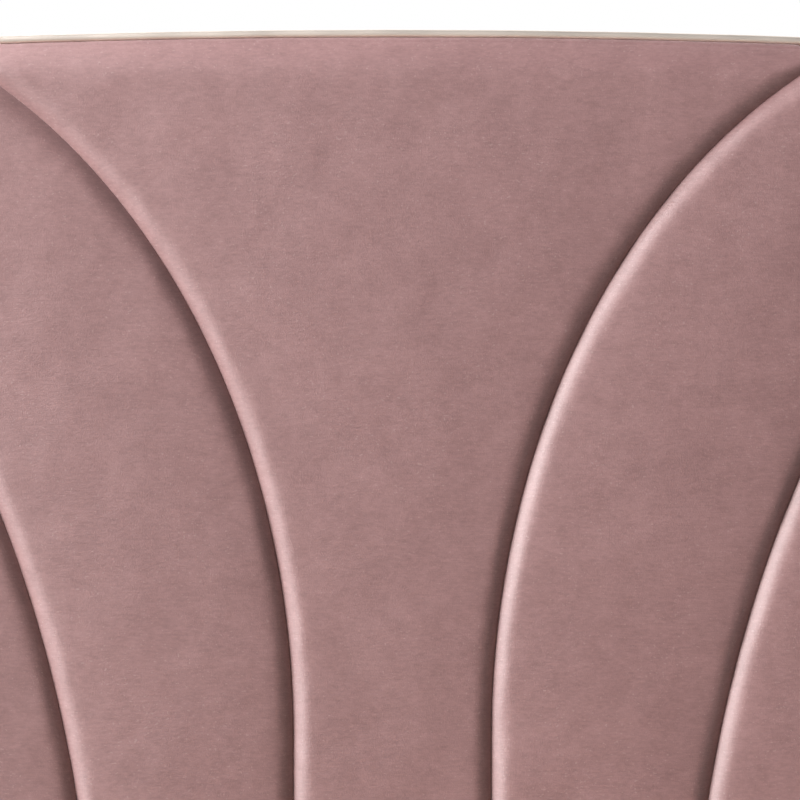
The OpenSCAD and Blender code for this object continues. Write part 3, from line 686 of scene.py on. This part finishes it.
# %% A closed upholstered piece
VALLEY = (0.0176, 0.0086)      # width and depth of the roll at a valley
VALLEY_SPREAD = 0.08           # how much wider it is at the top, where the foam is less pinched
VALLEY_REACH = 0.00028         # how far the velvet closes the gap between two pads
TUCK = (0.034, 0.0140)         # width and depth of the long slope at the trim
LIP_REACH = 0.0031             # how far the velvet swells over the trim's lip
CROWN = 0.0035                 # how far a pad's middle swells forward
PUCKER = 0.0007                # unevenness of the foam
GRAIN = {"edge": 0.045, "ripple": 0.018, "lump": 0.06}   # sizes of the unevenness
WIDE_FROM, WIDE_TO = 0.55, 0.10                          # below the crown: where the valleys grow wider
FACE_SPACING = 0.009           # between the points of a pad's flat middle


def make_solid(name, points, faces):
    """A closed mesh with its faces turned outwards."""
    mesh = bpy.data.meshes.new(name)
    mesh.from_pydata([tuple(p) for p in points], [], faces)
    tidy = bmesh.new()
    tidy.from_mesh(mesh)
    bmesh.ops.recalc_face_normals(tidy, faces=tidy.faces)
    tidy.to_mesh(mesh)
    tidy.free()
    piece = bpy.data.objects.new(name, mesh)
    scene.collection.objects.link(piece)
    return piece


def pad_face(outline, points, tucked, crown, roll, seed):
    """How deep each face point lies: flat, rolled at its edges, crowned by the cloth, and slightly uneven."""
    ends = np.roll(outline, -1, axis=0)
    free = ~tucked
    to_valley = edge_distance(points, outline[free], ends[free]) if free.any() else np.full(len(points), 1.0)
    to_trim = (edge_distance(points, outline[tucked], ends[tucked]) if tucked.any()
               else np.full(len(points), 1.0))
    uneven = noise_at(points, GRAIN["edge"], seed)
    ripple = noise_at(points, GRAIN["ripple"], seed + 5)
    high_up = smooth_step(crown_z - WIDE_FROM, crown_z - WIDE_TO, points[:, 1])
    width = roll[0] * (1 + VALLEY_SPREAD * high_up + (0.08 + 0.12 * high_up) * uneven + 0.05 * ripple)
    valley = roll_depth(to_valley, width, roll[1])
    tuck = TUCK[1] * np.clip(1 - to_trim / TUCK[0], 0, 1) ** 2
    depth = (valley ** 3 + tuck ** 3) ** (1 / 3)
    nearest = np.minimum(to_valley, to_trim)
    swell = crown * bulge_over(outline, points) * smooth_step(0, 0.03, nearest)
    lumps = (PUCKER * (noise_at(points, GRAIN["lump"], seed + 9) + 0.35 * ripple)
             * smooth_step(0.002, 0.015, nearest))
    return depth - swell + lumps, to_valley


def upholster(name, outline, tucked, front_y, back_y, crown, seed, roll=VALLEY, spacing=FACE_SPACING,
              valley_reach=0.0):
    """A closed padded piece over an outline of points (x, z), from its front plane to its back one. tucked
    says which of the points touch the trim. A piece that looks backwards has its front at the greater y."""
    rings = [ring for ring in RINGS if ring < 1.5 * roll[0]]
    points, faces = triangulate(net_points(outline, rings, spacing), len(outline))
    count = len(outline)
    facing = 1 if back_y > front_y else -1
    depth, to_valley = pad_face(outline, points, tucked, crown, roll, seed)
    normals = inward_normals(outline)
    border = [int(np.argmin(np.abs(points - p).sum(1))) for p in outline]
    reach = np.where(tucked, LIP_REACH * smooth_step(0.010, 0.028, to_valley[border]), valley_reach)
    placed = points.copy()
    placed[border] -= normals * reach[:, None]
    verts = [(x, front_y + facing * d, z) for (x, z), d in zip(placed, depth)]
    wall = abs(back_y - front_y) - roll[1]         # the straight part of the side
    rows = [border]
    for share, step in ((0.5, 0.16), (0.0, 0.35)):
        rows.append([len(verts) + i for i in range(count)])
        for i, (x, z) in enumerate(outline - normals * (reach * share)[:, None]):
            verts.append((x, front_y + facing * (depth[border[i]] + step * wall), z))
    rows.append([len(verts) + i for i in range(count)])
    verts += [(x, back_y, z) for x, z in outline]
    faces = list(faces)
    for front_row, back_row in zip(rows, rows[1:]):
        for i in range(count):
            j = (i + 1) % count
            faces.append((front_row[i], front_row[j], back_row[j], back_row[i]))
    faces.append(tuple(rows[-1]))
    piece = make_solid(name, verts, faces)
    piece.data.shade_smooth()
    return piece


# %% [markdown]
# ## The nine channel pads
# Each pad takes its outline from its CAD block. A point of the outline touches the trim if no other pad and
# no lower panel lies right beside it.

# %% Channel pads
PAD_NAMES = [name for name in nodes if name.startswith("channel_pad_")]
outlines = {name: smooth_outline(front_outline(name), EDGE_SPACING) for name in PAD_NAMES}


def touches_trim(name):
    """For each point of a pad's outline, whether the trim is what lies beside it."""
    outline = outlines[name]
    beside = np.full(len(outline), 1.0)
    for other in PAD_NAMES:
        if other != name:
            loop = outlines[other]
            beside = np.minimum(beside, edge_distance(outline, loop, np.roll(loop, -1, axis=0)))
    return (beside > 0.003) & (outline[:, 1] > outline[:, 1].min() + 0.001)


def finish_piece(piece, mat, replaced):
    piece.data.materials.append(mat)
    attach(piece, "bed_frame")
    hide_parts(*replaced)


for number, name in enumerate(PAD_NAMES):
    pad = upholster("velvet_" + name, outlines[name], touches_trim(name), face_y, board_y, CROWN,
                    3.7 * number, valley_reach=VALLEY_REACH)
    finish_piece(pad, velvet, [name])
    print(pad.name, len(pad.data.vertices), "points")

# %% [markdown]
# ## The plain panels
# Behind the mattress the headboard is a plain velvet panel with a thin pad. Its back is a board in plain
# woven cloth, turned round the edge and stapled. Both are made by the same function as the pads: the back
# only looks the other way, has a much smaller edge roll, and is spread more coarsely, as almost all of it
# is flat.

# %% Lower panel and back panel
PANEL_EDGE_SPACING = 0.012


def plain_panel(name, node, mat, roll, crown, seed, backwards, spacing):
    low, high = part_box(node)
    outline = smooth_outline(front_outline(node), PANEL_EDGE_SPACING)
    front_y, back_y = (high.y, low.y) if backwards else (low.y, high.y)
    piece = upholster(name, outline, np.zeros(len(outline), bool), front_y, back_y, crown, seed,
                      roll, spacing)
    finish_piece(piece, mat, [node])
    print(name, len(piece.data.vertices), "points")
    return outline


plain_panel("velvet_lower_panel", "headboard_lower_panel", velvet, (0.013, 0.008),
            0.002, 51.0, False, 0.016)
back_outline = plain_panel("back_cloth_panel", "headboard_back_panel", back_cloth,
                           (0.006, 0.0025), 0.0006, 57.0, True, 0.026)

# %% [markdown]
# The staples are wire bridges of 10 mm. Nobody sets them in a perfect row, so each is turned a little.

# %% Staples round the back
STAPLE_SPACING = 0.058
STAPLE_INSET = 0.010
STAPLE_LENGTH = 0.010
STAPLE_WIRE = 0.0006           # half the width of the wire
STAPLE_SIDES = 8
STAPLE_SKEW = 0.12             # radians


def staple_row(name, outline, y, mat, seed):
    """One mesh with a rounded wire bridge every few centimetres along an outline, on a backward face."""
    draw = np.random.default_rng(seed)
    line = smooth_outline(outline, STAPLE_SPACING)
    normals = inward_normals(line)
    line = line + normals * STAPLE_INSET
    section = [(math.cos(a), math.sin(a)) for a in np.linspace(0, 2 * math.pi, STAPLE_SIDES, endpoint=False)]
    lengthways = ((-0.5, -0.0012), (-0.5, 0.0001), (-0.42, 0.0006),
                  (0.42, 0.0006), (0.5, 0.0001), (0.5, -0.0012))
    verts, faces = [], []
    for (x, z), (nx, nz) in zip(line, normals):
        turn = math.atan2(-nx, nz) + draw.normal(0, STAPLE_SKEW)
        along = np.array([math.cos(turn), 0, math.sin(turn)])
        across = np.array([-math.sin(turn), 0, math.cos(turn)])
        first = len(verts)
        for share, lift in lengthways:
            centre = np.array([x, y + lift - STAPLE_WIRE * 0.5, z]) + along * share * STAPLE_LENGTH
            for c, s in section:
                verts.append(tuple(centre + across * c * STAPLE_WIRE + np.array([0, s * STAPLE_WIRE, 0])))
        sides = range(STAPLE_SIDES)
        rings = range(first, len(verts), STAPLE_SIDES)
        for ring in rings[:-1]:
            for k in sides:
                a, b = ring + k, ring + (k + 1) % STAPLE_SIDES
                faces.append((a, b, b + STAPLE_SIDES, a + STAPLE_SIDES))
        faces.append(tuple(rings[0] + k for k in sides)[::-1])
        faces.append(tuple(rings[-1] + k for k in sides))
    mesh = bpy.data.meshes.new(name)
    mesh.from_pydata(verts, [], faces)
    mesh.shade_smooth()
    mesh.materials.append(mat)
    piece = bpy.data.objects.new(name, mesh)
    scene.collection.objects.link(piece)
    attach(piece, "bed_frame")
    print(name, len(line), "staples")


staple_row("back_staples", back_outline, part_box("headboard_back_panel")[1].y, zinc, 8)

# %% [markdown]
# ## The padded rails
# Each rail is a timber core in foam and velvet. The velvet goes over the top and is stapled inside, where
# it ends in a straight hem. A soft box is the easiest start: its surface is a net of quads that is fine
# near the edges, its long edges are rounded, and its faces swell. The timber core and the open inner side
# are then cut from it.

# %% Soft boxes
NEAR_AN_END = (0, 0.0015, 0.004, 0.0075, 0.012, 0.017, 0.024, 0.033)
NEAR_A_MARK = (-0.006, -0.003, -0.0015, 0, 0.0015, 0.003, 0.006)


def net_steps(low, high, spacing, marks=()):
    """Places from low to high: close together near both ends and near each mark, wider between."""
    steps = {round(low + n, 5) for n in NEAR_AN_END} | {round(high - n, 5) for n in NEAR_AN_END}
    for mark in marks:
        steps |= {round(mark + n, 5) for n in NEAR_A_MARK}
    steps = sorted(n for n in steps if low <= n <= high)
    filled = []
    for a, b in zip(steps, steps[1:]):
        filled += list(np.linspace(a, b, max(1, math.ceil((b - a) / spacing)), endpoint=False))
    return filled + [high]


def soft_box(steps):
    """The surface of a box as quads over the given places along x, y and z; returns its points and faces."""
    index, points, faces = {}, [], []

    def corner(i, j, k):
        if (i, j, k) not in index:
            index[i, j, k] = len(points)
            points.append((steps[0][i], steps[1][j], steps[2][k]))
        return index[i, j, k]

    for axis in range(3):
        u, v = [a for a in range(3) if a != axis]
        for end in (0, len(steps[axis]) - 1):
            for a in range(len(steps[u]) - 1):
                for b in range(len(steps[v]) - 1):
                    quad = []
                    for da, db in ((0, 0), (1, 0), (1, 1), (0, 1)):
                        place = [0, 0, 0]
                        place[axis], place[u], place[v] = end, a + da, b + db
                        quad.append(corner(*place))
                    faces.append(quad)
    return np.array(points), faces


def round_edge(points, a, b, corner, inwards, radius):
    """Rounds the long edge at corner in the plane of axes a and b; inwards holds the signs to the inside."""
    u = 1 - (points[:, a] - corner[0]) * inwards[0] / radius
    v = 1 - (points[:, b] - corner[1]) * inwards[1] / radius
    beside = (u > 0) & (v > 0)
    shrink = np.where(beside, np.maximum(u, v) / np.sqrt(np.maximum(u * u + v * v, 1e-12)), 1)
    moved = points.copy()
    moved[beside, a] = (corner[0] + inwards[0] * radius * (1 - u * shrink))[beside]
    moved[beside, b] = (corner[1] + inwards[1] * radius * (1 - v * shrink))[beside]
    return moved


def cut_away(piece, boxes):
    """Cuts each box, given as two corners, out of the piece."""
    for low, high in boxes:
        points, faces = soft_box([[low[axis], high[axis]] for axis in range(3)])
        cutter = make_solid("cutter", points, faces)
        cut = piece.modifiers.new("cut", "BOOLEAN")
        cut.operation = "DIFFERENCE"
        cut.solver = "EXACT"
        cut.object = cutter
        result = bpy.data.meshes.new_from_object(piece.evaluated_get(bpy.context.evaluated_depsgraph_get()))
        piece.modifiers.clear()
        old = piece.data
        piece.data = result
        bpy.data.meshes.remove(old)
        bpy.data.objects.remove(cutter)


def swell(points, axis, face, outwards, amount, spans, seed):
    """Moves the points on one face outwards: a dome over the spans, foam lumps, no change at its rim."""
    on_face = np.abs(points[:, axis] - face) < 1e-6
    dome = np.ones(len(points))
    for span_axis, low, high in spans:
        dome *= np.sin(np.pi * np.clip((points[:, span_axis] - low) / (high - low), 0, 1)) ** 0.6
    lumps = np.array([noise.noise((x / 0.09, y / 0.09 + seed, z / 0.09)) for x, y, z in points])
    moved = points.copy()
    moved[:, axis] += np.where(on_face, outwards * dome * (amount + 0.0007 * lumps), 0)
    return moved


def sew_groove(points, axis, mark, outer_axis, outwards, reach, depth=0.0016, width=0.005):
    """Pulls the velvet in along a seam at a mark on one axis, only on the outer side of another axis."""
    away = np.abs(points[:, axis] - mark)
    pull = np.where((away < width) & ((points[:, outer_axis] - reach) * outwards > 0),
                    (1 - away / width) ** 2, 0)
    moved = points.copy()
    moved[:, outer_axis] -= outwards * depth * pull
    return moved


# %% [markdown]
# The side rails' velvet meets the foot rail's in a sewn corner. Where a leg plate is screwed up under a
# rail, the velvet is cut away round it.

# %% Rail covers
WRAP = 0.003                   # the velvet and lining where there is no foam
HEM = 0.070                    # height of the inner hem
PLATE_HALF = 0.024             # half the cut-out round a leg plate
TOP_SEAM = 0.018               # the top seam lies this far below the top of a rail
CORNER_SEAM = 0.020            # the sewn corner lies this far in from the end of the foot rail
FAR = 0.05                     # how far a cut reaches beyond the piece
HAIR = 0.0001                  # a cut-out ends this far above the timber's underside
OUTER_EDGE, INNER_EDGE, UNDER_EDGE, FOOT_CORNER = 0.014, 0.006, 0.009, 0.016   # radii
RAIL_STEPS = {"across": 0.008, "along": 0.024, "up": 0.018}
RAIL_SWELL, TOP_SWELL = 0.0015, -0.0004

rail_low, rail_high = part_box("side_rail_right")
cover_low, cover_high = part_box("side_rail_cover_right")
foot_low, foot_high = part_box("foot_rail")
foot_cover_low, foot_cover_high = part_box("foot_rail_cover")
leg_low, leg_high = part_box("foot_leg_right")
leg_x, leg_y = (leg_low.x + leg_high.x) / 2, (leg_low.y + leg_high.y) / 2
seam_z = cover_high.z - TOP_SEAM


def side_cover(name, node, side, seed):
    """The cover of one side rail, made on the right and mirrored for the left."""
    low = Vector((cover_low.x, cover_low.y - FAR, cover_low.z))
    high = Vector((cover_high.x, cover_high.y + FAR, cover_high.z))
    points, faces = soft_box([net_steps(low.x, high.x, RAIL_STEPS["across"]),
                              net_steps(low.y, high.y, RAIL_STEPS["along"]),
                              net_steps(low.z, high.z, RAIL_STEPS["up"], [seam_z])])
    points = swell(points, 0, high.x, 1, RAIL_SWELL, [(2, low.z, high.z)], seed)
    points = swell(points, 2, high.z, 1, TOP_SWELL, [(0, low.x, high.x)], seed + 3)
    points = sew_groove(points, 2, seam_z, 0, 1, (low.x + high.x) / 2)
    for corner, inwards, radius in (((high.x, high.z), (-1, -1), OUTER_EDGE),
                                    ((low.x, high.z), (1, -1), INNER_EDGE),
                                    ((high.x, low.z), (-1, 1), UNDER_EDGE)):
        points = round_edge(points, 0, 2, corner, inwards, radius)
    points[:, 0] *= side
    piece = make_solid(name, points, faces)
    boxes = [((rail_low.x, low.y - FAR, rail_low.z), (rail_high.x, high.y + FAR, rail_high.z)),
             ((low.x - FAR, low.y - FAR, low.z - FAR), (rail_low.x, high.y + FAR, high.z - HEM)),
             ((low.x - FAR, low.y - FAR, low.z - FAR), (rail_low.x, cover_low.y + WRAP, high.z + FAR)),
             ((low.x - FAR, low.y - FAR, low.z - FAR), (high.x + FAR, cover_low.y, high.z + FAR)),
             ((low.x - FAR, cover_high.y, low.z - FAR), (high.x + FAR, high.y + FAR, high.z + FAR)),
             ((low.x - FAR, low.y - FAR, low.z - FAR),
              (leg_x + PLATE_HALF, leg_y + PLATE_HALF, rail_low.z + HAIR))]
    if side < 0:
        boxes = [((-b[0], a[1], a[2]), (-a[0], b[1], b[2])) for a, b in boxes]
    cut_away(piece, boxes)
    dress_cover(piece, node)


def dress_cover(piece, node):
    """Smooths a cover but for its hems and cuts, and puts it in its CAD node's place."""
    piece.data.shade_smooth()
    piece.data.set_sharp_from_angle(angle=math.radians(38))
    finish_piece(piece, velvet, [node])
    print(piece.name, len(piece.data.vertices), "points")


side_cover("velvet_side_rail_right", "side_rail_cover_right", 1, 11.0)
side_cover("velvet_side_rail_left", "side_rail_cover_left", -1, 29.0)


def foot_cover(name, node, seed):
    """The cover of the foot rail, made longer than needed towards the bed's middle and then cut back."""
    low, high = foot_cover_low, foot_cover_high
    corner_seam = high.x - CORNER_SEAM
    points, faces = soft_box([net_steps(low.x, high.x, RAIL_STEPS["along"], [-corner_seam, corner_seam]),
                              net_steps(low.y, high.y + FAR, RAIL_STEPS["across"]),
                              net_steps(low.z, high.z, RAIL_STEPS["up"], [seam_z])])
    points = swell(points, 1, low.y, -1, RAIL_SWELL, [(0, low.x, high.x), (2, low.z, high.z)], seed)
    points = swell(points, 2, high.z, 1, TOP_SWELL, [(1, low.y, high.y)], seed + 3)
    points = sew_groove(points, 2, seam_z, 1, -1, (low.y + high.y) / 2)
    for side in (-1, 1):
        points = swell(points, 0, side * high.x, side, 0.0, [(2, low.z, high.z)], seed + 7)
        points = sew_groove(points, 2, seam_z, 0, side, side * (high.x - 0.010))
        points = sew_groove(points, 0, side * corner_seam, 1, -1, (low.y + high.y) / 2, 0.0014)
    points = round_edge(points, 1, 2, (low.y, high.z), (1, -1), OUTER_EDGE)
    points = round_edge(points, 1, 2, (low.y, low.z), (1, 1), UNDER_EDGE)
    for side in (-1, 1):
        points = round_edge(points, 0, 2, (side * high.x, high.z), (-side, -1), OUTER_EDGE)
        points = round_edge(points, 0, 2, (side * high.x, low.z), (-side, 1), UNDER_EDGE)
        points = round_edge(points, 0, 1, (side * high.x, low.y), (-side, 1), FOOT_CORNER)
    piece = make_solid(name, points, faces)
    inner_y = foot_high.y
    boxes = [((foot_low.x, foot_low.y, foot_low.z), (foot_high.x, inner_y, foot_high.z)),
             ((low.x - FAR, inner_y, low.z - FAR), (high.x + FAR, high.y + 2 * FAR, high.z - HEM)),
             ((low.x - FAR, foot_cover_high.y, low.z - FAR), (high.x + FAR, high.y + 2 * FAR, high.z + FAR))]
    for side in (-1, 1):
        edge = side * cover_low.x
        ends = sorted((edge, side * (high.x + FAR)))
        boxes.append(((ends[0], inner_y, low.z - FAR), (ends[1], high.y + 2 * FAR, high.z + FAR)))
        boxes.append(((side * leg_x - PLATE_HALF, leg_y - PLATE_HALF, low.z - FAR),
                      (side * leg_x + PLATE_HALF, inner_y + FAR, foot_low.z + HAIR)))
    cut_away(piece, boxes)
    dress_cover(piece, node)


foot_cover("velvet_foot_rail", "foot_rail_cover", 43.0)
